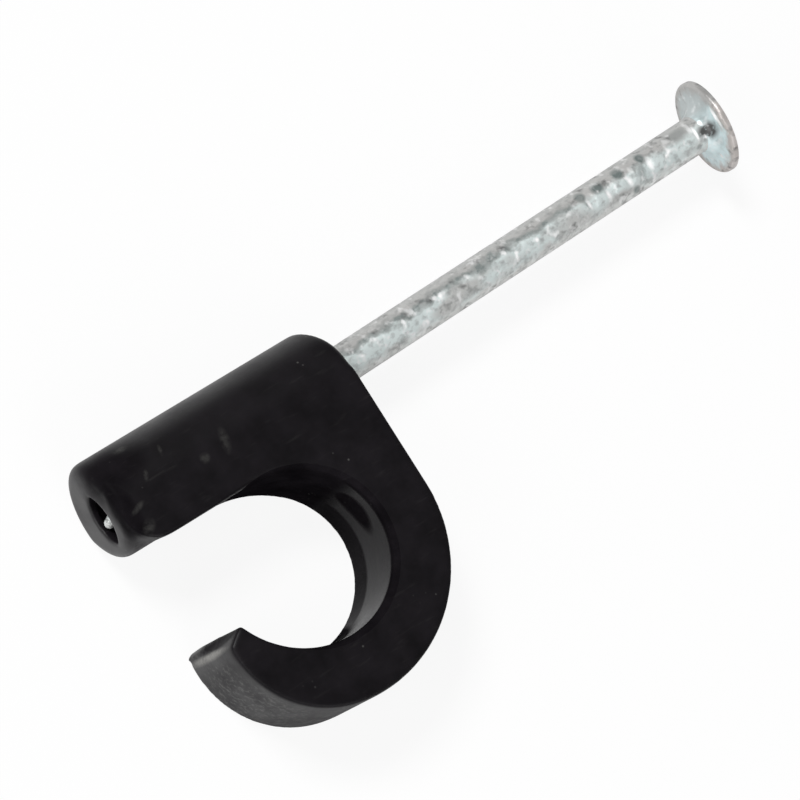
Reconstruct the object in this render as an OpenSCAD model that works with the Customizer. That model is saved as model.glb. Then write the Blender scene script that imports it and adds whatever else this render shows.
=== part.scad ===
// Nail-in cable clip: a moulded hook with a barrel, and the nail that the barrel holds.
// The clip lies on its flat side, with its wall face at X = 0. X runs along the barrel
// to the nail head, Y from the hook to the barrel, and Z along the cable.

/* [Clip] */
// Width of the clip along the cable, which is also the barrel's diameter
clip_w = 5.8; // [5.4:0.1:8]
// Diameter of the cable that the seat takes
cable_d = 8.3; // [7:0.1:10]
// Wall face to the centre of the cable seat
seat_set = 6.93; // [6.5:0.01:8]
// Nail axis to the nearest point of the cable seat
seat_gap = 2.5; // [2.3:0.05:3.5]
// Thickness of the hook on the head side
hook_wall = 3; // [2:0.05:4]
// Thickness of the hook at the bottom of the bend
bend_wall = 3.1; // [2:0.05:4]
// Width of the mouth between the barrel and the tip of the hook
mouth_w = 5.65; // [5:0.05:7]

/* [Barrel] */
// Nail axis to the cable side of the barrel at the wall face
barrel_under = 2.08; // [1.8:0.02:2.2]
// Radius of the crowned cable side of the barrel
barrel_crown_r = 3.4; // [3:0.1:5]
// Bore's axis to the barrel's axis, away from the hook
barrel_rise = 0.05; // [0:0.01:0.2]
// Rounding of the ends of the barrel
barrel_round = 0.45; // [0.1:0.05:0.7]
// Radius of the barrel's top corner at the head end, seen from the side
head_end_r = 5; // [3.2:0.1:8]
// Nail axis to the start of that corner
head_end_from = 0.3; // [0:0.1:1.5]
// Clearance between the nail and its bore, all round
bore_clear = 0.05; // [0.03:0.01:0.15]
// Diameter of the bore's mouth at the wall face
bore_mouth_d = 2.5; // [2.4:0.05:3]
// Depth of the bore's mouth
bore_mouth_h = 0.6; // [0.3:0.1:1.5]

/* [Hook outline] */
// How much the bend's outer radius exceeds that of the seat and the wall together
bend_grow = 0.18; // [0:0.01:0.5]
// Radius of the throat between the seat and the barrel
throat_r = 5.75; // [5.5:0.05:7]
// Direction from the seat's centre in which the throat leaves the seat
throat_from = 48; // [40:1:60]
// Slope of the barrel's cable side, falling away from the wall
throat_slope = 2.6; // [0:0.1:5]
// Inner radius of the hook's tail
tail_in_r = 5; // [4.6:0.1:6]
// Direction from the seat's centre in which the tail leaves the seat
tail_in_from = -79; // [-90:1:-70]
// Outer radius of the hook's tail
tail_out_r = 5.3; // [5:0.05:6]
// Direction from the bend's centre in which the tail starts to thin
tail_out_from = -103; // [-110:1:-95]
// Rounding of the outer corner of the hook's tip
tip_round = 0.5; // [0.35:0.05:0.6]
// Rounding of the plate's corner at the wall face
foot_round = 1.7; // [1:0.1:1.7]
// Depth by which the seat cuts past the throat and the tail where they leave it
seat_bite = 0.02; // [0.01:0.01:0.05]

/* [Nail] */
// Diameter of the nail's shank
nail_d = 2; // [1.6:0.05:2.3]
// Overall length of the nail
nail_l = 39.8; // [30:0.1:60]
// Depth of the nail's point inside the wall face
point_set = 0.2; // [0:0.05:1]
// Length of the four-sided point
point_l = 3; // [2:0.1:5]
// Width across the blunt end of the point
point_w = 0.5; // [0.3:0.05:0.8]
// Angle at which the nail leans in the barrel, away from the hook
nail_lean = 1.65; // [0:0.05:3]
// Diameter of the head
head_d = 5.1; // [4:0.1:7]
// Thickness of the head at its rim
head_rim = 0.4; // [0.3:0.05:0.8]
// Height of the dome above the rim
dome_h = 0.5; // [0.3:0.05:1]
// Height of the cone that joins the shank to the head
neck_h = 0.35; // [0.2:0.05:0.8]
// Angle by which the head leans off square, towards the hook
head_lean = 4; // [0:0.5:6]
// Angle by which the head leans off square, along the cable
head_tip = 7; // [0:0.5:8]
// Number of grip marks on each side of the shank
grip_count = 4; // [0:1:6]
// Spacing of the grip marks
grip_pitch = 1.3; // [0.8:0.1:2]
// Underside of the head to the first grip mark
grip_start = 3; // [2:0.1:5]
// Depth of the grip marks
grip_depth = 0.08; // [0.03:0.01:0.15]
// Radius of the die ridges that pressed the grip marks
grip_r = 0.4; // [0.2:0.05:0.8]

/* [Hidden] */
$fn = 96;
arc_step = 3;
cut_past = 1;
quarter = 90;
half_turn = 2 * quarter;

half_w = clip_w / 2;
seat_r = cable_d / 2;
seat = [seat_set, -seat_gap - seat_r];
outer_r = seat_r + hook_wall + bend_grow;
clip_l = seat_set + seat_r + hook_wall;
bend = [clip_l - outer_r, seat[1] - seat_r - bend_wall + outer_r];
bore_d = nail_d + 2 * bore_clear;
shank_end = point_set + nail_l - dome_h - head_rim;

// A point at radius r and direction a from the point c
function polar(c, r, a) = c + r * [cos(a), sin(a)];

// Points of an arc about c from direction a0 to direction a1
function arc(c, r, a0, a1) =
    let (n = ceil(abs(a1 - a0) / arc_step))
    [for (i = [0 : n]) polar(c, r, a0 + (a1 - a0) * i / n)];

// Centre of an arc of radius r that leaves the seat in direction a
function leaving_seat(r, a) = polar(seat, seat_r - r - seat_bite, a);

// The throat and the inner tail leave the seat, and the outer tail leaves the bend
throat = leaving_seat(throat_r, throat_from);
tail_in = leaving_seat(tail_in_r, tail_in_from);
tail_out = polar(bend, outer_r - tail_out_r, tail_out_from);

// The barrel's cable side runs on from the throat to the foot, and the tip ends a mouth's width below it
throat_to = quarter - throat_slope;
throat_end = polar(throat, throat_r, throat_to);
foot_y = throat_end[1] + throat_end[0] * tan(throat_slope);
foot = [foot_round, foot_y - foot_round * tan(throat_slope) + foot_round / cos(throat_slope)];
tip_y = foot_y - mouth_w;
tip_rise = tip_y - tip_round - tail_out[1];
tip_dir = -half_turn - asin(tip_rise / (tail_out_r - tip_round));
tip = polar(tail_out, tail_out_r - tip_round, tip_dir);

// Outline of the hook in the plane of its flat faces, with the seat still solid
module hook_outline() {
    polygon(concat(
        [[0, barrel_rise], [clip_l, barrel_rise]],
        arc(bend, outer_r, 0, tail_out_from),
        arc(tail_out, tail_out_r, tail_out_from, tip_dir),
        arc(tip, tip_round, tip_dir, -3 * quarter),
        arc(tail_in, tail_in_r, -half_turn - asin((tip_y - tail_in[1]) / tail_in_r), tail_in_from),
        arc(throat, throat_r, throat_from, throat_to),
        arc(foot, foot_round, 3 * quarter - throat_slope, half_turn)
    ));
}

// A solid of revolution along X from the wall face, from an outline of radius against length
module turned_along_x() {
    rotate([0, quarter, 0]) rotate_extrude() children();
}

// A rod of radius r along the whole clip, with its ends rounded
module rod(r) {
    turned_along_x() {
        square([r - barrel_round, clip_l]);
        translate([0, barrel_round]) square([r, clip_l - 2 * barrel_round]);
        for (x = [barrel_round, clip_l - barrel_round])
            translate([r - barrel_round, x]) circle(r = barrel_round);
    }
}

module barrel() {
    intersection() {
        translate([0, barrel_rise, 0]) rod(half_w);
        translate([0, barrel_crown_r - barrel_under, 0]) rod(barrel_crown_r);
    }
}

// Bore for the nail, with its wider mouth at the wall face
module bore() {
    translate([-cut_past, 0, 0]) rotate([0, quarter, 0]) cylinder(d = bore_d, h = clip_l + 3 * cut_past);
    mouth_grow = (bore_mouth_d - bore_d) * cut_past / bore_mouth_h;
    translate([-cut_past, 0, 0]) rotate([0, quarter, 0])
        cylinder(d1 = bore_mouth_d + mouth_grow, d2 = bore_d, h = bore_mouth_h + cut_past);
}

// What lies outside the barrel's top corner at the head end
module head_end_cut() {
    difference() {
        translate([clip_l - head_end_r, head_end_from, -clip_w])
            cube([head_end_r + cut_past, head_end_r, 2 * clip_w]);
        translate([clip_l - head_end_r, head_end_from, 0])
            cylinder(r = head_end_r, h = 3 * clip_w, center = true);
    }
}

module clip() color("#1c1c1e") {
    difference() {
        union() {
            barrel();
            linear_extrude(height = clip_w, center = true) hook_outline();
        }
        translate([seat[0], seat[1], 0]) cylinder(d = cable_d, h = clip_w + 2 * cut_past, center = true);
        head_end_cut();
        rotate([0, 0, nail_lean]) bore();
    }
}

// Half outline of the head above its underside: rim, then dome
module head_outline() {
    head_r = head_d / 2;
    dome_r = (head_r * head_r + dome_h * dome_h) / (2 * dome_h);
    square([head_r, head_rim]);
    intersection() {
        translate([0, head_rim + dome_h - dome_r]) circle(r = dome_r);
        square([head_r, head_rim + dome_h]);
    }
}

// Four sloped cuts that leave a square point with a blunt end
module point_cuts() {
    slope = atan((nail_d / 2 - point_w / 2) / point_l);
    for (side = [0 : quarter : 3 * quarter])
        rotate([side, 0, 0]) translate([point_set, 0, point_w / 2]) rotate([0, -slope, 0])
            translate([-nail_d, -nail_d, 0]) cube([point_l + 3 * nail_d, 2 * nail_d, 2 * nail_d]);
}

// Grip marks across both sides of the shank under the head
module grip_marks() {
    for (i = [0 : 1 : grip_count - 1], side = [-1, 1])
        translate([shank_end - grip_start - i * grip_pitch, 0, side * (nail_d / 2 + grip_r - grip_depth)])
            rotate([quarter, 0, 0]) cylinder(r = grip_r, h = 2 * nail_d, center = true);
}

module nail() color("#c3cacd") rotate([0, 0, nail_lean]) {
    difference() {
        translate([point_set, 0, 0]) rotate([0, quarter, 0]) cylinder(d = nail_d, h = shank_end - point_set);
        point_cuts();
        grip_marks();
    }
    translate([shank_end - neck_h, 0, 0]) rotate([0, quarter, 0])
        cylinder(d1 = nail_d, d2 = nail_d + 2 * neck_h, h = neck_h);
    translate([shank_end, 0, 0]) rotate([0, -head_tip, -head_lean]) turned_along_x() head_outline();
}

clip();
nail();
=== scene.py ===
"""Looks of a nail-in cable clip: the moulded hook, its nail, a pale floor, soft lamps and the camera."""

import logging
import math
from contextlib import contextmanager
from dataclasses import dataclass, field
from enum import Enum
from typing import Callable, Iterator, Tuple

import bmesh
import bpy
from mathutils import Matrix, Vector


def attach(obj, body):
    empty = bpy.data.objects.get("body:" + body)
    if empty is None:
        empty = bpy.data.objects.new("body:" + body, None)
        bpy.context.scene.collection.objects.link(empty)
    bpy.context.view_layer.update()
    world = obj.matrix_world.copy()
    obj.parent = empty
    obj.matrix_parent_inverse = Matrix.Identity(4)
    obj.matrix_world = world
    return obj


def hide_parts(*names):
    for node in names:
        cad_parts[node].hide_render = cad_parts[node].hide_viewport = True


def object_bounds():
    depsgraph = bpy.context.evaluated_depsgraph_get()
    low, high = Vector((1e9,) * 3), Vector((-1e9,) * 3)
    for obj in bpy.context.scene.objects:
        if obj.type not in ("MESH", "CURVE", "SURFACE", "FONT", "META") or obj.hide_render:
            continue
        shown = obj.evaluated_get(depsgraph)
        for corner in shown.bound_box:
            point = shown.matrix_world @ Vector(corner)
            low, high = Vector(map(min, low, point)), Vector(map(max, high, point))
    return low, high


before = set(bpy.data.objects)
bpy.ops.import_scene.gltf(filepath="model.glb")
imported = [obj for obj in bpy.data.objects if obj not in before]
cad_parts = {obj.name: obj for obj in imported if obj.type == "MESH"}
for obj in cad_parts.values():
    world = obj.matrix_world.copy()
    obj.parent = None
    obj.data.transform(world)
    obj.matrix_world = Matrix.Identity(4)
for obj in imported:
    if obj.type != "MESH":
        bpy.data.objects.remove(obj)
CAD_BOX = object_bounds()

log = logging.getLogger("cable_clip")

Point = Tuple[float, float]
Colour = Tuple[float, float, float]

MM = 0.001
BODY = "root"
LEAN = 1.65
SEAT: Point = (6.93, -6.65)
MERGE_GAP = 1e-4


class Cut(Enum):
    """How one solid is joined with another."""

    FUSE = "UNION"
    CARVE = "DIFFERENCE"
    KEEP_SHARED = "INTERSECT"


def polar(centre: Point, radius: float, degrees: float) -> Point:
    """Returns the point at a radius and direction from a centre."""
    turn = math.radians(degrees)
    return centre[0] + radius * math.cos(turn), centre[1] + radius * math.sin(turn)


def heading(centre: Point, point: Point) -> float:
    """Returns the direction in degrees from a centre to a point."""
    return math.degrees(math.atan2(point[1] - centre[1], point[0] - centre[0]))


def select_only(piece: bpy.types.Object) -> None:
    """Deselects everything, then selects one piece and makes it active."""
    bpy.ops.object.select_all(action="DESELECT")
    piece.select_set(True)
    bpy.context.view_layer.objects.active = piece


@contextmanager
def editing(piece: bpy.types.Object) -> Iterator[None]:
    """Holds a piece in edit mode for the length of a with block.

    Args:
        piece: The mesh object to edit.
    """
    select_only(piece)
    bpy.ops.object.mode_set(mode="EDIT")
    yield
    bpy.ops.object.mode_set(mode="OBJECT")


def pick(piece: bpy.types.Object, wanted: Callable[[Vector], bool]) -> int:
    """Selects the vertices of a piece in edit mode by their place.

    Args:
        piece: The mesh object, in edit mode.
        wanted: Says of a place whether its vertex is selected.

    Returns:
        How many vertices were selected.
    """
    bpy.ops.mesh.select_mode(type="VERT")
    bpy.ops.mesh.select_all(action="DESELECT")
    mesh = bmesh.from_edit_mesh(piece.data)
    found = [vertex for vertex in mesh.verts if wanted(vertex.co)]
    for vertex in found:
        vertex.select = True
    mesh.select_flush_mode()
    bmesh.update_edit_mesh(piece.data)
    return len(found)


def apply(piece: bpy.types.Object, modifier: bpy.types.Modifier) -> None:
    """Applies one modifier to a piece."""
    select_only(piece)
    bpy.ops.object.modifier_apply(modifier=modifier.name)


def join(piece: bpy.types.Object, other: bpy.types.Object, cut: Cut) -> None:
    """Fuses another solid into a piece, or carves it out, and removes the other solid.

    Args:
        piece: The solid that is kept.
        other: The solid that is used up.
        cut: How they are joined.
    """
    modifier = piece.modifiers.new(cut.name.lower(), "BOOLEAN")
    modifier.operation = cut.value
    modifier.solver = "EXACT"
    modifier.object = other
    apply(piece, modifier)
    bpy.data.objects.remove(other)


def tidy_shell(piece: bpy.types.Object) -> None:
    """Merges doubled vertices and points all faces outwards."""
    with editing(piece):
        bpy.ops.mesh.select_all(action="SELECT")
        bpy.ops.mesh.remove_doubles(threshold=MERGE_GAP)
        bpy.ops.mesh.normals_make_consistent(inside=False)


def to_metres(piece: bpy.types.Object) -> None:
    """Brings a piece that was modelled in millimetres to metres, with its place in its mesh."""
    select_only(piece)
    piece.scale = (MM, MM, MM)
    bpy.ops.object.transform_apply(location=True, rotation=True, scale=True)


class Pen:
    """Draws an outline in the XY plane, by extruding one vertex along lines and spinning it along arcs."""

    def __init__(self, name: str, start: Point, step: float = 3.0) -> None:
        """Puts the first vertex down.

        Args:
            name: Name of the new object.
            start: Where the outline starts.
            step: Degrees between the vertices of an arc.
        """
        bpy.ops.object.select_all(action="DESELECT")
        bpy.ops.mesh.primitive_plane_add(size=1, location=(0, 0, 0))
        self.piece = bpy.context.object
        self.piece.name = name
        self.step = step
        self.at = start
        bpy.ops.object.mode_set(mode="EDIT")
        bpy.ops.mesh.select_mode(type="VERT")
        bpy.ops.mesh.select_all(action="SELECT")
        bpy.ops.mesh.merge(type="CENTER")
        bpy.ops.transform.translate(value=(start[0], start[1], 0))

    def line_to(self, end: Point, parts: int = 1) -> None:
        """Draws a straight line, in equal parts."""
        move = ((end[0] - self.at[0]) / parts, (end[1] - self.at[1]) / parts, 0)
        for _ in range(parts):
            bpy.ops.mesh.extrude_vertices_move(TRANSFORM_OT_translate={"value": move})
        self.at = end

    def arc(self, centre: Point, to: float) -> None:
        """Draws an arc about a centre, the short way round.

        Args:
            centre: Centre of the arc.
            to: Direction in degrees from the centre in which the arc ends.
        """
        begin = heading(centre, self.at)
        turn = (to - begin + 180) % 360 - 180
        radius = math.hypot(self.at[0] - centre[0], self.at[1] - centre[1])
        bpy.ops.mesh.spin(
            steps=max(2, math.ceil(abs(turn) / self.step)),
            angle=-math.radians(turn),
            center=(centre[0], centre[1], 0),
            axis=(0, 0, 1),
        )
        self.at = polar(centre, radius, to)

    def sheet(self, height: float) -> bpy.types.Object:
        """Closes the outline, fills it and lifts it to a height.

        Args:
            height: Height of the finished face.

        Returns:
            The filled outline.
        """
        bpy.ops.mesh.select_all(action="SELECT")
        bpy.ops.mesh.remove_doubles(threshold=MERGE_GAP)
        bpy.ops.mesh.edge_face_add()
        bpy.ops.transform.translate(value=(0, 0, height))
        bpy.ops.object.mode_set(mode="OBJECT")
        return self.piece

    def slab(self, low: float, high: float) -> bpy.types.Object:
        """Closes the outline, fills it and extrudes it along Z.

        Args:
            low: Height of the lower face.
            high: Height of the upper face.

        Returns:
            The finished solid.
        """
        self.sheet(low)
        with editing(self.piece):
            bpy.ops.mesh.select_all(action="SELECT")
            bpy.ops.mesh.extrude_region_move(TRANSFORM_OT_translate={"value": (0, 0, high - low)})
        tidy_shell(self.piece)
        return self.piece

    def turned(self, steps: int) -> bpy.types.Object:
        """Spins the outline once round the X axis into a closed shell.

        Args:
            steps: Number of sides of the turned shape.

        Returns:
            The finished solid.
        """
        bpy.ops.mesh.select_all(action="SELECT")
        bpy.ops.mesh.spin(steps=steps, angle=2 * math.pi, center=(0, 0, 0), axis=(1, 0, 0))
        bpy.ops.object.mode_set(mode="OBJECT")
        tidy_shell(self.piece)
        return self.piece


@dataclass(frozen=True)
class Mark:
    """A spot on a surface, in millimetres and degrees.

    It has a middle, half sizes, a turn about Z, a strength, and the share of its size at full strength.
    """

    middle: Tuple[float, float, float]
    half: Tuple[float, float, float]
    turn: float = 0.0
    strength: float = 1.0
    core: float = 0.3


class Nodes:
    """A short way to write the node tree of a material that reads Object coordinates in millimetres."""

    def __init__(self, name: str) -> None:
        """Starts an empty tree with an output."""
        self.material = bpy.data.materials.new(name)
        self.material.use_nodes = True
        self.tree = self.material.node_tree
        self.tree.nodes.clear()
        self.output = self.add("ShaderNodeOutputMaterial")

    def add(self, kind: str, **values: object) -> bpy.types.Node:
        """Adds a node and sets its properties, or its inputs where no property has that name.

        Args:
            kind: Blender's type name of the node.
            **values: Properties or inputs, by name.

        Returns:
            The new node.
        """
        node = self.tree.nodes.new(kind)
        for key, value in values.items():
            if hasattr(node, key):
                setattr(node, key, value)
            else:
                node.inputs[key].default_value = value
        return node

    def link(self, source: bpy.types.NodeSocket, target: bpy.types.NodeSocket) -> None:
        """Links an output to an input."""
        self.tree.links.new(source, target)

    def place(self, stretch: Tuple[float, float, float] = (1, 1, 1)) -> bpy.types.NodeSocket:
        """Object coordinates in millimetres, stretched along the axes.

        Args:
            stretch: Factor along each axis.

        Returns:
            The socket with the coordinates.
        """
        where = self.add("ShaderNodeTexCoord")
        scale = self.add("ShaderNodeMapping")
        scale.inputs["Scale"].default_value = tuple(s / MM for s in stretch)
        self.link(where.outputs["Object"], scale.inputs["Vector"])
        return scale.outputs["Vector"]

    def noise(
        self, at: bpy.types.NodeSocket, size: float, detail: float = 3, rough: float = 0.5
    ) -> bpy.types.NodeSocket:
        """A noise pattern.

        Args:
            at: Coordinates in millimetres.
            size: Size of its grains in millimetres.
            detail: Number of finer layers.
            rough: Strength of the finer layers.

        Returns:
            The socket with values from 0 to 1.
        """
        node = self.add("ShaderNodeTexNoise", Scale=1 / size, Detail=detail, Roughness=rough)
        self.link(at, node.inputs["Vector"])
        return node.outputs["Fac"]

    def ramp(self, value: bpy.types.NodeSocket, *stops: Tuple[float, Colour]) -> bpy.types.NodeSocket:
        """Turns a value into a colour.

        Args:
            value: Value from 0 to 1.
            *stops: Places on the ramp, each with its colour.

        Returns:
            The socket with the colour.
        """
        node = self.add("ShaderNodeValToRGB")
        marks = node.color_ramp.elements
        while len(marks) < len(stops):
            marks.new(0.5)
        for mark, (place, colour) in zip(marks, stops):
            mark.position = place
            mark.color = (*colour, 1)
        self.link(value, node.inputs["Fac"])
        return node.outputs["Color"]

    def spread(
        self, value: bpy.types.NodeSocket, low: float, high: float, to_low: float, to_high: float
    ) -> bpy.types.NodeSocket:
        """Maps one range of values to another, without going past its ends.

        Args:
            value: The value to map.
            low: Value that becomes to_low.
            high: Value that becomes to_high.
            to_low: Result at low.
            to_high: Result at high.

        Returns:
            The socket with the result.
        """
        node = self.add("ShaderNodeMapRange", clamp=True)
        for name, number in (("From Min", low), ("From Max", high), ("To Min", to_low), ("To Max", to_high)):
            node.inputs[name].default_value = number
        self.link(value, node.inputs["Value"])
        return node.outputs["Result"]

    def maths(self, operation: str, a: object, b: object = 0.0) -> bpy.types.NodeSocket:
        """Combines two values, each a socket or a number.

        Args:
            operation: Blender's name of the sum.
            a: First value.
            b: Second value, where the sum takes one.

        Returns:
            The socket with the result.
        """
        node = self.add("ShaderNodeMath", operation=operation)
        for slot, value in zip(node.inputs, (a, b)):
            if isinstance(value, bpy.types.NodeSocket):
                self.link(value, slot)
            else:
                slot.default_value = value
        return node.outputs["Value"]

    def mix(self, factor: bpy.types.NodeSocket, a: object, b: object) -> bpy.types.NodeSocket:
        """Mixes two colours, each a socket or a colour.

        Args:
            factor: Share of the second colour.
            a: First colour.
            b: Second colour.

        Returns:
            The socket with the mixed colour.
        """
        node = self.add("ShaderNodeMix", data_type="RGBA")
        self.link(factor, node.inputs["Factor"])
        for name, value in (("A", a), ("B", b)):
            slot = [s for s in node.inputs if s.name == name and s.type == "RGBA"][0]
            if isinstance(value, bpy.types.NodeSocket):
                self.link(value, slot)
            else:
                slot.default_value = (*value, 1)
        return [s for s in node.outputs if s.type == "RGBA"][0]

    def spot(self, mark: Mark) -> bpy.types.NodeSocket:
        """A mask that is at full strength in the core of a mark and falls to 0 at its edge.

        Args:
            mark: Where the mark is and how large.

        Returns:
            The socket with the mask.
        """
        where = self.add("ShaderNodeTexCoord")
        own = self.add("ShaderNodeMapping", vector_type="TEXTURE")
        own.inputs["Location"].default_value = tuple(v * MM for v in mark.middle)
        own.inputs["Rotation"].default_value = (0, 0, math.radians(mark.turn))
        own.inputs["Scale"].default_value = tuple(v * MM for v in mark.half)
        self.link(where.outputs["Object"], own.inputs["Vector"])
        away = self.add("ShaderNodeVectorMath", operation="LENGTH")
        self.link(own.outputs["Vector"], away.inputs[0])
        return self.spread(away.outputs["Value"], mark.core, 1.0, mark.strength, 0)

    def spots(self, marks: Tuple[Mark, ...]) -> bpy.types.NodeSocket:
        """The strongest of several marks at each place.

        Args:
            marks: The marks.

        Returns:
            The socket with the mask.
        """
        found = self.spot(marks[0])
        for mark in marks[1:]:
            found = self.maths("MAXIMUM", found, self.spot(mark))
        return found

    def bump(self, height: bpy.types.NodeSocket, depth: float, under: object = None) -> bpy.types.NodeSocket:
        """A bump from a height pattern.

        Args:
            height: Height from 0 to 1.
            depth: Height of the bump in millimetres.
            under: A normal to build on, if any.

        Returns:
            The socket with the normal.
        """
        node = self.add("ShaderNodeBump", Strength=1.0, Distance=depth * MM)
        self.link(height, node.inputs["Height"])
        if under is not None:
            self.link(under, node.inputs["Normal"])
        return node.outputs["Normal"]


@dataclass(frozen=True)
class MouldedPlastic:
    """Black moulded plastic: satin faces, a part-polished seat, a fine grain, pale scuffs and dust, and a
    painted highlight along the tip's outer edge.
    """

    colour: Colour = (0.0075, 0.0065, 0.0078)
    scuff: Colour = (0.036, 0.035, 0.034)
    dust: Colour = (0.08, 0.079, 0.076)
    # Pale colour of the painted highlight on the tip's outer edge.
    tip_highlight_pale: Colour = (0.21, 0.205, 0.19)
    roughness: float = 0.4
    seat_roughness: float = 0.2
    gloss: float = 0.5
    seat: Point = SEAT
    seat_reach: float = 4.5
    scuffs: Tuple[Mark, ...] = (
        Mark((2.1, 0.68, 2.83), (0.35, 0.14, 0.3), 60, 1.0),
        Mark((0.87, -0.44, 2.9), (0.55, 0.18, 0.4), 20, 1.0),
        Mark((6.38, 0.15, 2.9), (0.3, 0.8, 0.4), -15, 0.75),
        Mark((5.04, -0.08, 2.9), (0.32, 0.32, 0.4), 0, 1.0),
        Mark((3.46, 1.35, 2.59), (0.12, 0.4, 0.4), -20, 0.8),
        Mark((2.08, 2.37, 1.74), (0.45, 0.2, 0.5), 0, 1.0),
        Mark((0.85, -1.45, 2.85), (0.5, 0.35, 0.5), 40, 0.9),
        Mark((7.4, -2.85, 2.2), (0.9, 0.12, 0.5), -25, 0.8),
        Mark((8.1, -3.4, 2.2), (0.7, 0.1, 0.5), -35, 0.7),
    )
    # Painted highlight along the outer edge of the hook's tip.
    tip_edge_highlight: Mark = Mark((1.02, -8.05, 0.0), (0.3, 0.34, 3.3), 0, 0.9, 0.5)
    rubbed: Mark = Mark((3.0, -11.2, -0.4), (5.5, 3.6, 3.2), 0, 0.9, 0.7)
    bore: Mark = Mark((7.0, 0.2, 0.0), (60, 1.32, 1.32), LEAN, 1.0, 0.95)
    bore_from: float = 0.12
    bore_fade: float = 0.05
    patch_size: float = 1.6
    patch_relief: float = 0.012
    patch_dull: float = 0.08
    flake_size: float = 0.28
    flake_relief: float = 0.004
    scratch_size: float = 0.45
    dot_gap: float = 0.7
    dot_field: float = 2.3
    gloss_fall: float = 2.5
    dull_faces: Tuple[Mark, ...] = (
        Mark((7.0, -6.0, 3.3), (60, 60, 3.0), 0, 0.41, 0.25),  # flat front face
        Mark((0.3, -0.2, 2.6), (0.9, 2.9, 1.5), 0, 0.87, 0.45),  # front edge of the wall end
        Mark((0.8, 1.6, 2.0), (3.6, 2.4, 2.6), 0, 0.79, 0.3),  # top of the wall end
        Mark((1.75, -7.62, 0.4), (0.85, 0.45, 3.5), 32, 0.73, 0.6),  # tip's end face
        Mark((3.5, -11.5, 0.0), (6.0, 4.0, 30), 0, 0.44, 0.7),  # outside of the tail
    )
    dull_seat: Tuple[Mark, ...] = (
        Mark((8.5, -2.6, 0), (6.2, 4.6, 30), 0, 1.0, 0.5),  # throat
        Mark((11.0, -5.7, 0.85), (1.7, 2.7, 1.6), 0, 0.97, 0.4),  # hollow under the throat
        Mark((*SEAT, -3.1), (60, 60, 3.0), 0, 0.84, 0.68),  # back strip
        Mark((*SEAT, 3.3), (60, 60, 1.3), 0, 1.0, 0.5),  # front edge
        Mark((6.2, -10.8, -3.2), (4.5, 4.0, 7.5), 0, 1.0, 0.5),  # bottom
        Mark((*SEAT, 0), (60, 60, 60), 0, 0.58, 0.95),  # all the rest
    )

    def build(self) -> bpy.types.Material:
        """Returns the material."""
        nodes = Nodes("moulded_black_plastic")
        at = nodes.place()
        shader = nodes.add("ShaderNodeBsdfPrincipled", IOR=1.5)
        patches = nodes.noise(at, self.patch_size, 5, 0.62)
        flakes = nodes.noise(at, self.flake_size, 4, 0.7)
        tone = nodes.ramp(
            patches, (0.32, tuple(0.65 * c for c in self.colour)), (0.68, tuple(1.5 * c for c in self.colour))
        )
        scratches = nodes.noise(nodes.place((0.3, 2.0, 1)), self.scratch_size, 4, 0.6)
        scratched = nodes.spread(scratches, 0.6, 0.8, 0, 0.3)
        broken = nodes.maths("MULTIPLY", nodes.spots(self.scuffs), nodes.spread(flakes, 0.35, 0.6, 0.1, 1.0))
        tone = nodes.mix(nodes.maths("MAXIMUM", broken, scratched), tone, self.scuff)
        specks = nodes.maths("MULTIPLY", nodes.spot(self.rubbed), nodes.spread(flakes, 0.5, 0.68, 0, 1.0))
        along = nodes.add("ShaderNodeSeparateXYZ")
        nodes.link(at, along.inputs["Vector"])
        depth = nodes.spread(
            along.outputs["X"], self.bore_from - self.bore_fade, self.bore_from + self.bore_fade, 0, 1
        )
        deep = nodes.maths("MULTIPLY", nodes.spot(self.bore), depth)
        tone = nodes.mix(specks, tone, self.dust)
        cells = nodes.add("ShaderNodeTexVoronoi", Scale=1 / self.dot_gap)
        nodes.link(at, cells.inputs["Vector"])
        some = nodes.spread(nodes.noise(at, self.dot_field, 2, 0.5), 0.5, 0.62, 0, 0.8)
        dots = nodes.maths("MULTIPLY", nodes.spread(cells.outputs["Distance"], 0.04, 0.1, 1, 0), some)
        tone = nodes.mix(dots, tone, self.dust)
        # Painted highlight: the tip's outer edge is pale, broken up by the flakes.
        edge = nodes.maths("MULTIPLY", nodes.spot(self.tip_edge_highlight), nodes.spread(flakes, 0.3, 0.6, 0.4, 1.0))
        tone = nodes.mix(edge, tone, self.tip_highlight_pale)
        nodes.link(tone, shader.inputs["Base Color"])
        seat_wall = nodes.maths("LESS_THAN", self.from_seat(nodes), self.seat_reach * MM)
        uneven = nodes.spread(patches, 0.3, 0.7, -self.patch_dull, self.patch_dull)
        faces = nodes.maths("ADD", nodes.spots(self.dull_faces), uneven)
        in_seat = nodes.maths("MULTIPLY", nodes.spots(self.dull_seat), seat_wall)
        dull = nodes.maths("MAXIMUM", nodes.maths("MAXIMUM", faces, deep), in_seat)
        level = nodes.maths("POWER", nodes.spread(dull, 0, 1, 1, 0), self.gloss_fall)
        nodes.link(nodes.maths("MULTIPLY", level, self.gloss), shader.inputs["Specular IOR Level"])
        rough = nodes.spread(patches, 0.3, 0.7, self.roughness - 0.04, self.roughness + 0.05)
        less = nodes.maths("MULTIPLY", seat_wall, self.roughness - self.seat_roughness)
        nodes.link(nodes.maths("SUBTRACT", rough, less), shader.inputs["Roughness"])
        fine = nodes.bump(flakes, self.flake_relief, nodes.bump(patches, self.patch_relief))
        nodes.link(fine, shader.inputs["Normal"])
        nodes.link(shader.outputs["BSDF"], nodes.output.inputs["Surface"])
        return nodes.material

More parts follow.
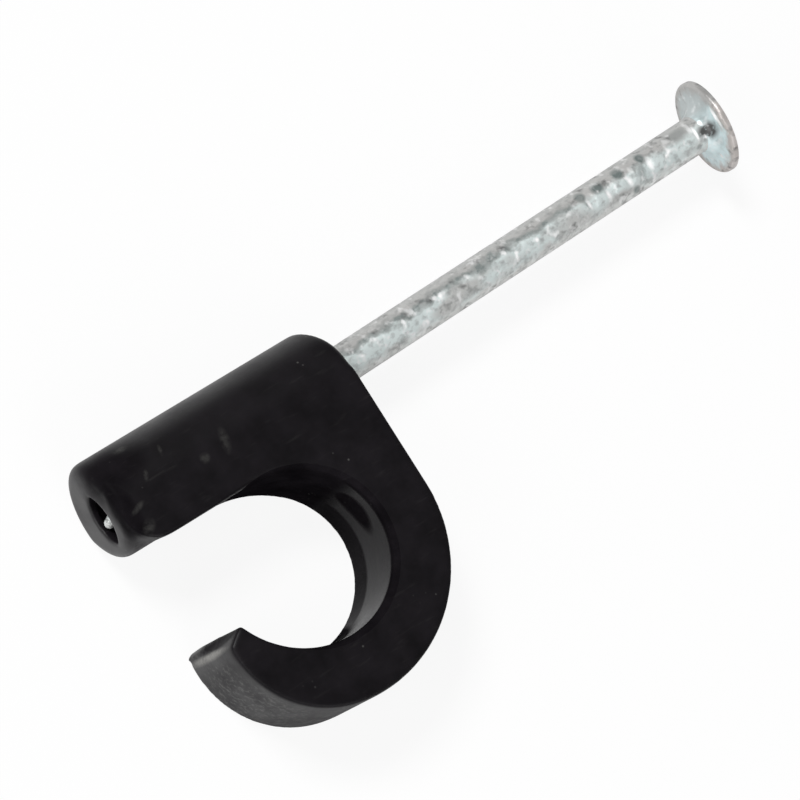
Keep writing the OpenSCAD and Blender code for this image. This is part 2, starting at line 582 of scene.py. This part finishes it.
    def from_seat(self, nodes: Nodes) -> bpy.types.NodeSocket:
        """Distance from the seat's axis, in metres."""
        where = nodes.add("ShaderNodeTexCoord")
        flat = nodes.add("ShaderNodeMapping")
        flat.inputs["Location"].default_value = (-self.seat[0] * MM, -self.seat[1] * MM, 0)
        flat.inputs["Scale"].default_value = (1, 1, 0)
        nodes.link(where.outputs["Object"], flat.inputs["Vector"])
        away = nodes.add("ShaderNodeVectorMath", operation="LENGTH")
        nodes.link(flat.outputs["Vector"], away.inputs[0])
        return away.outputs["Value"]


def on_nail(along: float, across: float, up: float) -> Tuple[float, float, float]:
    """A place given along, across and above the leaning nail's axis, in millimetres."""
    x, y = polar((0, 0), along, LEAN)
    return x - across * math.sin(math.radians(LEAN)), y + across * math.cos(math.radians(LEAN)), up


@dataclass(frozen=True)
class ZincPlate:
    """Zinc plate on drawn wire: bluish white, mottled, with painted light: a pale middle and grey sides
    painted across the shank, painted shade on its upper side and on the head, a painted dark reflection
    streak, and painted shade and highlights at the grips, neck and head.
    """

    # Pale and grey tones of the plate; across the shank they are laid out as painted light, pale in the
    # middle and grey at the sides.
    pale: Colour = (0.88, 0.97, 0.96)
    # A darker copy of the pale tone for the head, as painted shade.
    head_pale: Colour = (0.74, 0.87, 0.89)
    # White of the painted highlights and glints.
    white: Colour = (1.0, 1.0, 1.0)
    grey: Colour = (0.66, 0.655, 0.64)
    rim: Colour = (0.56, 0.52, 0.5)
    shade: Colour = (0.36, 0.37, 0.365)
    # Colour of the painted reflection streak and of the painted shade spots.
    line: Colour = (0.22, 0.26, 0.255)
    # Dark colour of the flecks and of the painted neck shadow.
    fleck_and_shadow: Colour = (0.1, 0.1, 0.1)
    roughness: float = 0.36
    metallic: float = 0.4
    head_from: float = 38.5
    # Place, half width and fade-out along the nail of the painted dark reflection streak.
    line_at: float = 0.33
    line_half: float = 0.3
    line_fade: Point = (29.4, 30.2)
    cloud_size: float = 1.5
    mottle_size: float = 0.75
    mottle_relief: float = 0.05
    grain_size: float = 0.34
    grain_relief: float = 0.015
    fleck_size: float = 0.55
    spark_size: float = 0.5
    # Painted shade: the shaded flanks of the grip marks, and dark zones near the head, over the neck fillet
    # and under the head.
    painted_shade_spots: Tuple[Mark, ...] = (
        Mark(on_nail(34.55, 0.5, 0.84), (0.34, 0.4, 0.5), -8, 1.0, 0.5),
        Mark(on_nail(34.2, -0.1, 1.0), (0.32, 0.6, 0.5), -8, 0.5, 0.4),
        Mark(on_nail(32.97, 0.45, 0.88), (0.44, 0.42, 0.5), 0, 1.0, 0.5),
        Mark(on_nail(31.56, 0.42, 0.9), (0.46, 0.42, 0.5), 0, 1.0, 0.5),
        Mark(on_nail(30.45, 0.48, 0.88), (0.36, 0.36, 0.5), 0, 0.95, 0.5),
        Mark(on_nail(33.56, -0.77, 0.64), (0.28, 0.28, 0.4), 0, 0.9, 0.4),
        Mark(on_nail(37.05, 0.45, 0.87), (1.2, 0.5, 0.5), 0, 0.5, 0.3),
        Mark(on_nail(38.7, 0.55, 1.2), (0.6, 0.6, 0.6), 0, 0.6, 0.3),
        Mark(on_nail(38.95, -1.0, 1.0), (0.4, 0.5, 0.6), 0, 0.35, 0.3),
    )
    neck_shadow: Mark = Mark(on_nail(38.62, -0.25, 1.15), (0.75, 0.62, 0.7), 0, 1.0, 0.5)
    # Painted highlights: the lit flanks of the grip marks, a streak on the neck fillet, a band on the head's
    # underside by the rim and a small glint on the underside.
    painted_highlights: Tuple[Mark, ...] = (
        Mark(on_nail(34.85, -0.05, 1.0), (0.2, 0.45, 0.4), 0, 1.0, 0.3),
        Mark(on_nail(33.35, -0.22, 0.97), (0.22, 0.4, 0.4), 0, 1.0, 0.3),
        Mark(on_nail(31.9, -0.2, 0.98), (0.2, 0.36, 0.4), 0, 1.0, 0.3),
        Mark(on_nail(30.68, -0.1, 1.0), (0.15, 0.4, 0.4), 0, 0.9, 0.3),
        Mark(on_nail(38.02, -0.03, 0.98), (0.12, 0.52, 0.3), 0, 1.0, 0.5),
        Mark(on_nail(38.85, 0.05, 2.03), (0.4, 0.72, 0.17), 0, 1.0, 0.6),
        Mark(on_nail(38.94, -1.68, 0.32), (0.3, 0.18, 0.12), 0, 1.0, 0.4),
    )

    def along_nail(self, nodes: Nodes) -> bpy.types.Node:
        """Object coordinates in millimetres, along, across and above the leaning axis, as separate values."""
        where = nodes.add("ShaderNodeTexCoord")
        upright = nodes.add("ShaderNodeMapping")
        upright.inputs["Rotation"].default_value = (0, 0, -math.radians(LEAN))
        upright.inputs["Scale"].default_value = (1 / MM, 1 / MM, 1 / MM)
        nodes.link(where.outputs["Object"], upright.inputs["Vector"])
        parts = nodes.add("ShaderNodeSeparateXYZ")
        nodes.link(upright.outputs["Vector"], parts.inputs["Vector"])
        return parts

    def build(self) -> bpy.types.Material:
        """Returns the material."""
        nodes = Nodes("mottled_zinc_plate")
        shader = nodes.add("ShaderNodeBsdfPrincipled")
        clouds = nodes.noise(nodes.place((0.6, 1, 1)), self.cloud_size, 2, 0.5)
        mottle = nodes.noise(nodes.place((0.75, 1, 1)), self.mottle_size, 3, 0.55)
        grains = nodes.noise(nodes.place((0.9, 1, 1)), self.grain_size, 2, 0.55)
        flecks = nodes.noise(nodes.place((0.9, 1.1, 1.1)), self.fleck_size, 2, 0.5)
        sparks = nodes.noise(nodes.place((1.1, 0.9, 0.9)), self.spark_size, 2, 0.5)
        parts = self.along_nail(nodes)
        # Painted light across the shank: pale along the middle and grey towards both sides, for how light
        # falls on it. The cloud patches are random mottle.
        side = nodes.maths("ADD", parts.outputs["Y"], nodes.spread(mottle, 0.25, 0.75, -0.25, 0.25))
        upper = nodes.spread(side, 0.05, 0.4, 0, 1)
        lower = nodes.spread(side, -0.5, -0.9, 0, 0.9)
        patchy = nodes.spread(clouds, 0.46, 0.62, 0, 0.85)
        shank_grey = nodes.maths("MAXIMUM", nodes.maths("MAXIMUM", upper, lower), patchy)
        squares = [nodes.maths("MULTIPLY", parts.outputs[axis], parts.outputs[axis]) for axis in ("Y", "Z")]
        out = nodes.maths("SQRT", nodes.maths("ADD", *squares))
        wavy = nodes.maths("ADD", out, nodes.spread(mottle, 0.25, 0.75, -0.3, 0.3))
        head_grey = nodes.spread(wavy, 1.9, 2.3, 0, 1)
        on_head = nodes.maths("GREATER_THAN", parts.outputs["X"], self.head_from)
        on_shank = nodes.maths("SUBTRACT", 1.0, on_head)
        head_grey = nodes.maths("MULTIPLY", head_grey, on_head)
        grey = nodes.maths("ADD", head_grey, nodes.maths("MULTIPLY", shank_grey, on_shank))
        # Painted shade: the head takes the darker copy of the pale tone.
        light = nodes.mix(on_head, self.pale, self.head_pale)
        tone = nodes.mix(grey, light, nodes.mix(on_head, self.grey, self.rim))
        # Painted shade: darker towards the upper side (+Y across the nail), shank and head alike.
        tone = nodes.mix(nodes.spread(parts.outputs["Y"], 0.55, 0.95, 0, 0.7), tone, self.shade)
        calm = nodes.spread(on_head, 0, 1, 1.0, 0.3)
        pits = nodes.maths("MULTIPLY", nodes.spread(grains, 0.52, 0.3, 0, 0.55), calm)
        tone = nodes.mix(pits, tone, self.shade)
        # Painted reflection: a broken dark streak along the shank, fading out past the grip marks.
        off_line = nodes.maths("ABSOLUTE", nodes.maths("SUBTRACT", side, self.line_at))
        on_line = nodes.spread(off_line, 0.2 * self.line_half, self.line_half, 1, 0)
        on_line = nodes.maths("MULTIPLY", on_line, on_shank)
        on_line = nodes.maths("MULTIPLY", on_line, nodes.spread(grains, 0.36, 0.62, 0.3, 0.85))
        on_line = nodes.maths("MULTIPLY", on_line, nodes.spread(parts.outputs["X"], *self.line_fade, 1, 0.15))
        # Painted shade spots, broken up by the grains, in the streak's colour.
        broken = nodes.spread(grains, 0.34, 0.56, 0.6, 1.0)
        dark = nodes.maths("MULTIPLY", nodes.spots(self.painted_shade_spots), broken)
        tone = nodes.mix(nodes.maths("MAXIMUM", on_line, dark), tone, self.line)
        speck = nodes.spread(flecks, 0.56, 0.72, 0, 0.75)
        speck = nodes.maths("MULTIPLY", speck, nodes.spread(grey, 0, 1, 0.2, 1.0))
        # Painted shadow at the neck, in the flecks' dark colour.
        shadow = nodes.spread(grains, 0.34, 0.48, 0.5, 1.0)
        shadow = nodes.maths("MULTIPLY", nodes.spot(self.neck_shadow), shadow)
        tone = nodes.mix(nodes.maths("MAXIMUM", speck, shadow), tone, self.fleck_and_shadow)
        # Painted glints and highlights in white, where the plate is also less metallic and smoother.
        spark = nodes.spread(sparks, 0.56, 0.7, 0, 1)
        spark = nodes.maths("MULTIPLY", spark, nodes.spread(grey, 0, 1, 1.0, 0.45))
        spark = nodes.maths("MULTIPLY", spark, calm)
        shine = nodes.maths("MAXIMUM", spark, nodes.spots(self.painted_highlights))
        tone = nodes.mix(shine, tone, self.white)
        nodes.link(tone, shader.inputs["Base Color"])
        nodes.link(nodes.spread(shine, 0, 1, self.metallic, 0), shader.inputs["Metallic"])
        rough = nodes.spread(mottle, 0.3, 0.7, self.roughness + 0.1, self.roughness - 0.06)
        rough = nodes.maths("SUBTRACT", rough, nodes.maths("MULTIPLY", shine, 0.1))
        nodes.link(rough, shader.inputs["Roughness"])
        relief = nodes.bump(grains, self.grain_relief, nodes.bump(mottle, self.mottle_relief))
        nodes.link(relief, shader.inputs["Normal"])
        nodes.link(shader.outputs["BSDF"], nodes.output.inputs["Surface"])
        return nodes.material


@dataclass(frozen=True)
class HookFace:
    """What differs between the hook's outlines on its two flat faces. Sizes in mm and degrees."""

    height: float
    inset: float
    slope: float
    throat_r: float
    foot_r: float
    tail_r: float
    tip: Tuple[Point, ...]


@dataclass
class Clip:
    """The moulding: a round barrel for the nail, a plate, and a hook round the cable. Sizes in mm."""

    width: float = 5.8
    seat_r: float = 4.15
    seat: Point = SEAT
    bend_r: float = 7.33
    bend: Point = (6.75, -6.57)
    barrel_under: float = 2.08
    barrel_rise: float = 0.05
    crown_r: float = 3.4
    end_round: float = 0.45
    head_end_r: float = 5.0
    head_end_from: float = 0.3
    bore_d: float = 2.1
    bore_mouth_l: float = 2.6
    bore_mouth_w: float = 1.75
    bore_mouth_off: float = 0.15
    bore_lip: float = 0.45
    nail_lean: float = LEAN
    throat_from: float = 48
    tail_in_r: float = 5
    tail_in_from: float = -79
    tail_out_from: float = -103
    back: HookFace = HookFace(
        -2.9, 0.4, 3.4, 5.75, 1.5, 5.3, ((1.12, -7.95), (0.94, -7.7), (1.25, -7.54), (2.06, -7.5))
    )
    front: HookFace = HookFace(
        2.9, 0.05, 0, 5.0, 1.6, 5.25, ((1.04, -8.27), (1.88, -7.68), (2.12, -7.62))
    )
    cut_past: float = 1.0
    lip_past: float = 0.1
    grain: float = 0.085
    soften_passes: int = 150
    softness: Tuple[float, float] = (0.07, 0.24)
    throat_place: Point = (7.7, -2.9)
    throat_reach: float = 3.2
    throat_lift: float = 0.3
    finish: MouldedPlastic = field(default_factory=MouldedPlastic)

    @property
    def length(self) -> float:
        """Wall face to the head end."""
        return self.bend[0] + self.bend_r

    def outline(self, face: HookFace) -> bpy.types.Object:
        """Draws the hook's outline on one flat face, from the barrel round the bend to the tip and back.

        Args:
            face: The face's own height and sizes.

        Returns:
            The outline as a filled face.
        """
        throat = polar(self.seat, self.seat_r - face.throat_r, self.throat_from)
        tail_in = polar(self.seat, self.seat_r - self.tail_in_r, self.tail_in_from)
        tail_out = polar(self.bend, self.bend_r - face.tail_r, self.tail_out_from)
        slope = math.radians(face.slope)
        end = polar(throat, face.throat_r, 90 - face.slope)
        foot_x = face.inset + face.foot_r
        foot = (foot_x, end[1] + (end[0] - foot_x) * math.tan(slope) + face.foot_r / math.cos(slope))
        pen = Pen("clip", (face.inset, self.barrel_rise))
        pen.line_to((self.length, self.barrel_rise))
        pen.line_to((self.length, self.bend[1]))
        pen.arc(self.bend, self.tail_out_from)
        pen.arc(tail_out, heading(tail_out, face.tip[0]))
        for corner in face.tip:
            pen.line_to(corner)
        pen.line_to(polar(tail_in, self.tail_in_r, heading(tail_in, face.tip[-1])))
        pen.arc(tail_in, self.tail_in_from)
        pen.arc(self.seat, -15)
        pen.arc(self.seat, self.throat_from)
        pen.arc(throat, 90 - face.slope)
        pen.line_to(polar(foot, face.foot_r, 270 - face.slope))
        pen.arc(foot, 180)
        return pen.sheet(face.height)

    def hook(self) -> bpy.types.Object:
        """Bridges the hook's two outlines, which differ a little because the mould draws from the front.

        Returns:
            The hook as a solid.
        """
        piece, other = self.outline(self.back), self.outline(self.front)
        select_only(piece)
        other.select_set(True)
        bpy.ops.object.join()
        with editing(piece):
            bpy.ops.mesh.select_mode(type="EDGE")
            bpy.ops.mesh.select_all(action="SELECT")
            bpy.ops.mesh.region_to_loop()
            bpy.ops.mesh.bridge_edge_loops()
        tidy_shell(piece)
        return piece

    def rod(self, name: str, radius: float, up: float) -> bpy.types.Object:
        """A rod along the barrel with its ends bevelled round.

        Args:
            name: Name of the new object.
            radius: Radius of the rod.
            up: How far its axis stands off the nail's, along Y.

        Returns:
            The rod as a solid.
        """
        bpy.ops.object.select_all(action="DESELECT")
        bpy.ops.mesh.primitive_cylinder_add(
            vertices=128, radius=radius, depth=self.length,
            location=(self.length / 2, up, 0), rotation=(0, math.pi / 2, 0),
        )
        rod = bpy.context.object
        rod.name = name
        bpy.ops.object.transform_apply(location=True, rotation=True, scale=True)
        with editing(rod):
            bpy.ops.mesh.select_mode(type="EDGE")
            bpy.ops.mesh.select_all(action="DESELECT")
            bpy.ops.mesh.edges_select_sharp(sharpness=math.radians(60))
            bpy.ops.mesh.bevel(offset=self.end_round, segments=6)
        return rod

    def barrel(self) -> bpy.types.Object:
        """Returns the barrel, round on top and crowned on the cable side."""
        barrel = self.rod("barrel", self.width / 2, self.barrel_rise)
        join(barrel, self.rod("crown", self.crown_r, self.crown_r - self.barrel_under), Cut.KEEP_SHARED)
        return barrel

    def bore(self) -> bpy.types.Object:
        """Returns the cutter for the nail's bore, which starts behind the lip at the wall face."""
        pen = Pen("bore", (self.bore_lip, 0))
        pen.line_to((self.bore_lip, self.bore_d / 2))
        end = self.length + 2 * self.cut_past
        pen.line_to((end, self.bore_d / 2))
        pen.line_to((end, 0))
        bore = pen.turned(64)
        with editing(bore):
            bpy.ops.mesh.select_all(action="SELECT")
            bpy.ops.transform.rotate(
                value=-math.radians(self.nail_lean), orient_axis="Z", center_override=(0, 0, 0)
            )
        return bore

    def bore_mouth(self) -> bpy.types.Object:
        """Returns the cutter for the bore's mouth, a slot in the wall face that is pointed at both ends."""
        long, wide = self.bore_mouth_l / 2, self.bore_mouth_w / 2
        radius = (long * long + wide * wide) / (2 * wide)
        corner = math.degrees(math.asin(long / radius))
        pen = Pen("bore_mouth", (0, -long))
        pen.arc((wide - radius, 0), corner)
        pen.arc((radius - wide, 0), 180 + corner)
        reach = self.bore_lip + self.lip_past
        mouth = pen.slab(-reach, reach)
        with editing(mouth):
            bpy.ops.mesh.select_all(action="SELECT")
            bpy.ops.transform.rotate(value=math.pi / 2, orient_axis="Y", center_override=(0, 0, 0))
            bpy.ops.transform.translate(value=(0, 0, self.bore_mouth_off))
        return mouth

    def head_end_corner(self) -> bpy.types.Object:
        """Returns the cutter for the barrel's top corner at the head end."""
        centre = (self.length - self.head_end_r, self.head_end_from)
        pen = Pen("head_end", (self.length, self.head_end_from))
        pen.arc(centre, 90)
        far, top = self.length + self.cut_past, centre[1] + self.head_end_r + self.cut_past
        pen.line_to((centre[0], top))
        pen.line_to((far, top))
        pen.line_to((far, self.head_end_from))
        return pen.slab(-self.width, self.width)

    def softness_at(self, place: Vector) -> float:
        """How soft the moulding's edges are at a place: sharper at the back, and softest over the throat.

        Args:
            place: A place on the moulding.

        Returns:
            Share of the softening passes, from 0 to 1.
        """
        lift = min(1.0, max(0.0, 0.5 + place.z / self.width))
        low, high = self.softness
        away = math.hypot(place.x - self.throat_place[0], place.y - self.throat_place[1]) / self.throat_reach
        near = max(0.0, 1.0 - away * away) * max(0.0, lift - self.throat_lift) / (1 - self.throat_lift)
        return min(1.0, low + (high - low) * lift + near * (1 - high))

    def soften(self, piece: bpy.types.Object) -> None:
        """Blends the fused solids into one moulding with soft edges.

        Args:
            piece: The fused solid.
        """
        remesh = piece.modifiers.new("one_skin", "REMESH")
        remesh.mode = "VOXEL"
        remesh.voxel_size = self.grain
        remesh.use_smooth_shade = True
        apply(piece, remesh)
        group = piece.vertex_groups.new(name="soft")
        for vertex in piece.data.vertices:
            group.add([vertex.index], self.softness_at(vertex.co), "REPLACE")
        smooth = piece.modifiers.new("soft_edges", "SMOOTH")
        smooth.factor = 0.5
        smooth.iterations = self.soften_passes
        smooth.vertex_group = group.name
        apply(piece, smooth)

    def build(self) -> bpy.types.Object:
        """Models the moulding and dresses it.

        Returns:
            The finished piece, which stands for the CAD clip.
        """
        piece = self.hook()
        join(piece, self.barrel(), Cut.FUSE)
        join(piece, self.head_end_corner(), Cut.CARVE)
        join(piece, self.bore(), Cut.CARVE)
        join(piece, self.bore_mouth(), Cut.CARVE)
        self.soften(piece)
        to_metres(piece)
        piece.name = "clip_moulding"
        piece.data.materials.clear()
        piece.data.materials.append(self.finish.build())
        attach(piece, BODY)
        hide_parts("clip")
        return piece


@dataclass
class Nail:
    """The nail: round shank, four-sided point, grip marks, neck and a low domed head. Sizes in mm."""

    shank_r: float = 1.0
    length: float = 39.8
    point_set: float = 0.2
    point_l: float = 3
    point_w: float = 0.5
    lean: float = LEAN
    head_r: float = 2.55
    head_rim: float = 0.4
    dome_h: float = 0.5
    neck_r: float = 0.8
    head_lean: float = 4
    head_tip: float = 7
    grip_count: int = 4
    grip_pitch: float = 1.3
    grip_start: float = 4.4
    grip_depth: float = 0.11
    grip_r: float = 0.6
    rim_round: float = 0.2
    point_dome_r: float = 0.27
    point_off: Point = (-0.24, -0.4)
    point_bend_l: float = 1.2
    sides: int = 96
    flank_past: float = 0.6
    shank_rings: int = 240
    dome_rings: int = 8
    dome_edge: float = 0.12
    finish: ZincPlate = field(default_factory=ZincPlate)

    @property
    def shank_end(self) -> float:
        """Where the shank meets the underside of the head, along the nail."""
        return self.point_set + self.length - self.dome_h - self.head_rim

    def turned_blank(self) -> bpy.types.Object:
        """Draws the nail's half outline and turns it: shank, neck, underside, rim and dome.

        Returns:
            The blank, along X and not yet leaning.
        """
        end, r = self.shank_end, self.head_r
        pen = Pen("nail", (self.point_set, 0), step=9)
        pen.line_to((self.point_set, self.shank_r))
        pen.line_to((self.point_set + self.point_l + self.flank_past, self.shank_r), 6)
        pen.line_to((end - self.neck_r, self.shank_r), self.shank_rings)
        pen.arc((end - self.neck_r, self.shank_r + self.neck_r), 0)
        pen.line_to((end, r - self.rim_round), 8)
        pen.arc((end + self.rim_round, r - self.rim_round), 90)
        pen.line_to((end + self.head_rim, r), 2)
        dome_r = (r * r + self.dome_h**2) / (2 * self.dome_h)
        top = end + self.head_rim + self.dome_h
        lip = math.degrees(math.asin((r - self.dome_edge) / dome_r))
        edge = polar((top - dome_r, 0), dome_r, lip)
        pen.line_to(edge, 3)
        for ring in reversed(range(self.dome_rings)):
            pen.line_to(polar((top - dome_r, 0), dome_r, lip * ring / self.dome_rings))
        return pen.turned(self.sides)

    def cut_point(self, piece: bpy.types.Object) -> None:
        """Cuts the four sloped faces of the point.

        Args:
            piece: The turned blank.
        """
        slope = math.atan((self.shank_r - self.point_w / 2) / self.point_l)
        for quarter in range(4):
            turn = Matrix.Rotation(quarter * math.pi / 2, 3, "X")
            with editing(piece):
                bpy.ops.mesh.select_all(action="SELECT")
                bpy.ops.mesh.bisect(
                    plane_co=turn @ Vector((self.point_set, 0, self.point_w / 2)),
                    plane_no=turn @ Vector((-math.sin(slope), 0, math.cos(slope))),
                    use_fill=True, clear_outer=True,
                )

    def dome_point(self, piece: bpy.types.Object) -> None:
        """Rounds the blunt end of the point into a small dome.

        Args:
            piece: The nail with its point cut.
        """
        start, r = self.point_set, self.point_dome_r
        past, wide = 2, 2 * self.head_r
        pen = Pen("dome", (start, 0), step=10)
        pen.arc((start + r, 0), 90)
        pen.line_to((start + self.point_l + 0.5, self.shank_r + 0.4))
        pen.line_to((start + self.point_l + past, wide))
        pen.line_to((start + self.length + past, wide))
        pen.line_to((start + self.length + past, 0))
        join(piece, pen.turned(48), Cut.KEEP_SHARED)

    def bend_point(self, piece: bpy.types.Object) -> None:
        """Sets the end of the point a little off the shank's axis.

        Args:
            piece: The nail with its point cut.
        """
        steps = 5
        with editing(piece):
            for step in range(steps):
                reach = self.point_set + self.point_bend_l * (1 - step / steps)
                pick(piece, lambda place: place.x < reach)
                bpy.ops.transform.translate(value=(0, self.point_off[0] / steps, self.point_off[1] / steps))

    def press_grips(self, piece: bpy.types.Object) -> None:
        """Presses the grip marks of the heading dies into both sides of the shank.

        Args:
            piece: The turned blank.
        """
        for mark in range(self.grip_count):
            for side in (-1, 1):
                bpy.ops.object.select_all(action="DESELECT")
                bpy.ops.mesh.primitive_cylinder_add(
                    vertices=40, radius=self.grip_r, depth=4 * self.shank_r,
                    location=(
                        self.shank_end - self.grip_start - mark * self.grip_pitch,
                        0,
                        side * (self.shank_r + self.grip_r - self.grip_depth),
                    ),
                    rotation=(math.pi / 2, 0, 0),
                )
                ridge = bpy.context.object
                bpy.ops.object.transform_apply(location=True, rotation=True, scale=True)
                join(piece, ridge, Cut.CARVE)

    def lean_over(self, piece: bpy.types.Object) -> None:
        """Leans the head off square, then the whole nail.

        Args:
            piece: The nail, along X.
        """
        centre = (self.shank_end, 0, 0)
        steps, margin = 6, 0.02
        tip, lean = math.radians(self.head_tip) / steps, math.radians(self.head_lean) / steps
        with editing(piece):
            for step in range(steps):
                reach = self.neck_r * (1 - (step + 1) / steps) + margin
                pick(piece, lambda place: place.x > self.shank_end - reach)
                bpy.ops.transform.rotate(value=tip, orient_axis="Y", center_override=centre)
                bpy.ops.transform.rotate(value=lean, orient_axis="Z", center_override=centre)
            bpy.ops.mesh.select_all(action="SELECT")
            bpy.ops.transform.rotate(
                value=-math.radians(self.lean), orient_axis="Z", center_override=(0, 0, 0)
            )

    def build(self) -> bpy.types.Object:
        """Models the nail and dresses it.

        Returns:
            The finished piece, which stands for the CAD nail.
        """
        piece = self.turned_blank()
        self.press_grips(piece)
        self.cut_point(piece)
        self.dome_point(piece)
        self.bend_point(piece)
        self.lean_over(piece)
        to_metres(piece)
        select_only(piece)
        bpy.ops.object.shade_smooth_by_angle(angle=math.radians(35))
        piece.name = "nail_steel"
        piece.data.materials.clear()
        piece.data.materials.append(self.finish.build())
        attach(piece, BODY)
        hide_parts("nail")
        return piece


@dataclass(frozen=True)
class Lamp:
    """A soft rectangular lamp, aimed at the middle of the part. Places in metres."""

    name: str
    place: Tuple[float, float, float]
    size: Tuple[float, float]
    power: float

    def hang(self, target: Vector) -> None:
        """Adds the lamp and aims it.

        Args:
            target: The point that it is aimed at.
        """
        bpy.ops.object.select_all(action="DESELECT")
        bpy.ops.object.light_add(type="AREA", location=self.place)
        lamp = bpy.context.object
        lamp.name = self.name
        lamp.data.shape = "RECTANGLE"
        lamp.data.size, lamp.data.size_y = self.size
        lamp.data.energy = self.power
        lamp.rotation_euler = (target - Vector(self.place)).to_track_quat("-Z", "Y").to_euler()


@dataclass
class Studio:
    """Pale floor, soft lamps, an even sky and the camera at the photo's view."""

    floor_drop: float = 0.00002
    floor_size: float = 3.0
    floor_colour: Colour = (0.9, 0.9, 0.9)
    seen_glow: float = 0.9
    mirrored_glow: float = 0.05
    sky: float = 0.12
    target: Tuple[float, float, float] = (0.016, -0.003, 0)
    lens: float = 175.497
    sensor: float = 36
    clip_start: float = 0.01
    eye: Tuple[float, float, float] = (-0.0624638, -0.0070257, 0.1737022)
    right: Tuple[float, float, float] = (0.7741985237, -0.5351768463, 0.3379384397)
    up: Tuple[float, float, float] = (0.4791021298, 0.8444094072, 0.2396537132)
    back: Tuple[float, float, float] = (-0.4136155160, -0.0236325247, 0.9101448834)
    lamps: Tuple[Lamp, ...] = (
        Lamp("lamp_far", (-0.165, 0.41, 0.61), (0.2, 0.2), 4.2),
        Lamp("lamp_left", (-0.6, -0.05, 0.42), (0.5, 0.5), 1.9),
        Lamp("lamp_near", (-0.1, -0.6, 0.42), (0.5, 0.5), 1.7),
    )

    def lay_floor(self, under: float) -> None:
        """Adds the floor, which looks pale to the camera and in reflections and keeps the shadow.

        Args:
            under: Height of the part's lowest point.
        """
        bpy.ops.object.select_all(action="DESELECT")
        bpy.ops.mesh.primitive_plane_add(size=self.floor_size, location=(0, 0, under - self.floor_drop))
        floor = bpy.context.object
        floor.name = "floor"
        nodes = Nodes("pale_floor")
        matt = nodes.add("ShaderNodeBsdfDiffuse", Color=(*self.floor_colour, 1))
        glow = nodes.add("ShaderNodeEmission", Color=(1, 1, 1, 1), Strength=1.0)
        path = nodes.add("ShaderNodeLightPath")
        seen = nodes.maths("MULTIPLY", path.outputs["Is Camera Ray"], self.seen_glow)
        mirrored = nodes.maths("MAXIMUM", path.outputs["Is Glossy Ray"], path.outputs["Is Transmission Ray"])
        mirrored = nodes.maths("MULTIPLY", mirrored, self.mirrored_glow)
        blend = nodes.add("ShaderNodeMixShader")
        share, first, second = blend.inputs
        nodes.link(nodes.maths("MAXIMUM", seen, mirrored), share)
        nodes.link(matt.outputs["BSDF"], first)
        nodes.link(glow.outputs["Emission"], second)
        nodes.link(blend.outputs["Shader"], nodes.output.inputs["Surface"])
        floor.data.materials.append(nodes.material)

    def light_sky(self) -> None:
        """Gives the world an even, plain light."""
        world = bpy.data.worlds.new("plain_sky")
        bpy.context.scene.world = world
        world.use_nodes = True
        back = world.node_tree.nodes["Background"]
        back.inputs["Color"].default_value = (1, 1, 1, 1)
        back.inputs["Strength"].default_value = self.sky

    def set_camera(self) -> None:
        """Adds the camera at the place and turn that fit the photo's outlines."""
        bpy.ops.object.select_all(action="DESELECT")
        bpy.ops.object.camera_add()
        camera = bpy.context.object
        camera.data.lens = self.lens
        camera.data.sensor_width = self.sensor
        camera.data.clip_start = self.clip_start
        turn = Matrix((self.right, self.up, self.back)).transposed().to_4x4()
        camera.matrix_world = Matrix.Translation(self.eye) @ turn
        bpy.context.scene.camera = camera

    def build(self) -> None:
        """Sets the whole stage up."""
        low = CAD_BOX[0]
        self.lay_floor(low[2])
        self.light_sky()
        for lamp in self.lamps:
            lamp.hang(Vector(self.target))
        self.set_camera()
        bpy.context.scene.view_settings.view_transform = "Standard"


def main() -> None:
    """Builds the stage and the pieces in order, and reports each."""
    logging.basicConfig(level=logging.INFO, format="%(name)s: %(message)s")
    Studio().build()
    log.info("stage, lamps and camera are set")
    for maker in (Clip(), Nail()):
        piece = maker.build()
        log.info("%s: %d faces", piece.name, len(piece.data.polygons))


if __name__ == "__main__":
    main()
